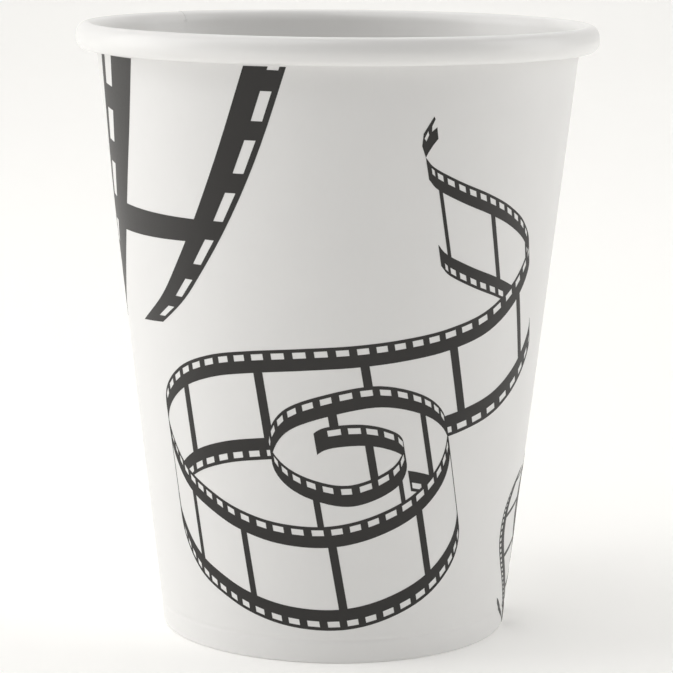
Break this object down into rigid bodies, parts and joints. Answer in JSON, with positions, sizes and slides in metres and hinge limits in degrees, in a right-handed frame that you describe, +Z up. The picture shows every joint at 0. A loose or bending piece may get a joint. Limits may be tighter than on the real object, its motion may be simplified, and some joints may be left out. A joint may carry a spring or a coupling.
{
  "type": "paper cup",
  "caption": "Tapered, flat-bottomed paper cup for hot drinks, with a rolled rim, a recessed base and a dark film-strip print on its white wall.",
  "frame": {"origin": "on the cup's axis, on the plane that the base rim stands on", "axes": "+Z up along the cup's axis, the printed front faces -Y"},
  "size_m": [0.08, 0.08, 0.094],
  "materials": {
    "cup_board": "coated white board, satin",
    "base_board": "coated white board, satin",
    "print_ink": "warm black ink on coated board, satin"
  },
  "bodies": {
    "root": {"side_wall": "cup_board", "base_disc": "base_board", "film_strip_print": "print_ink"}
  },
  "joints": []
}
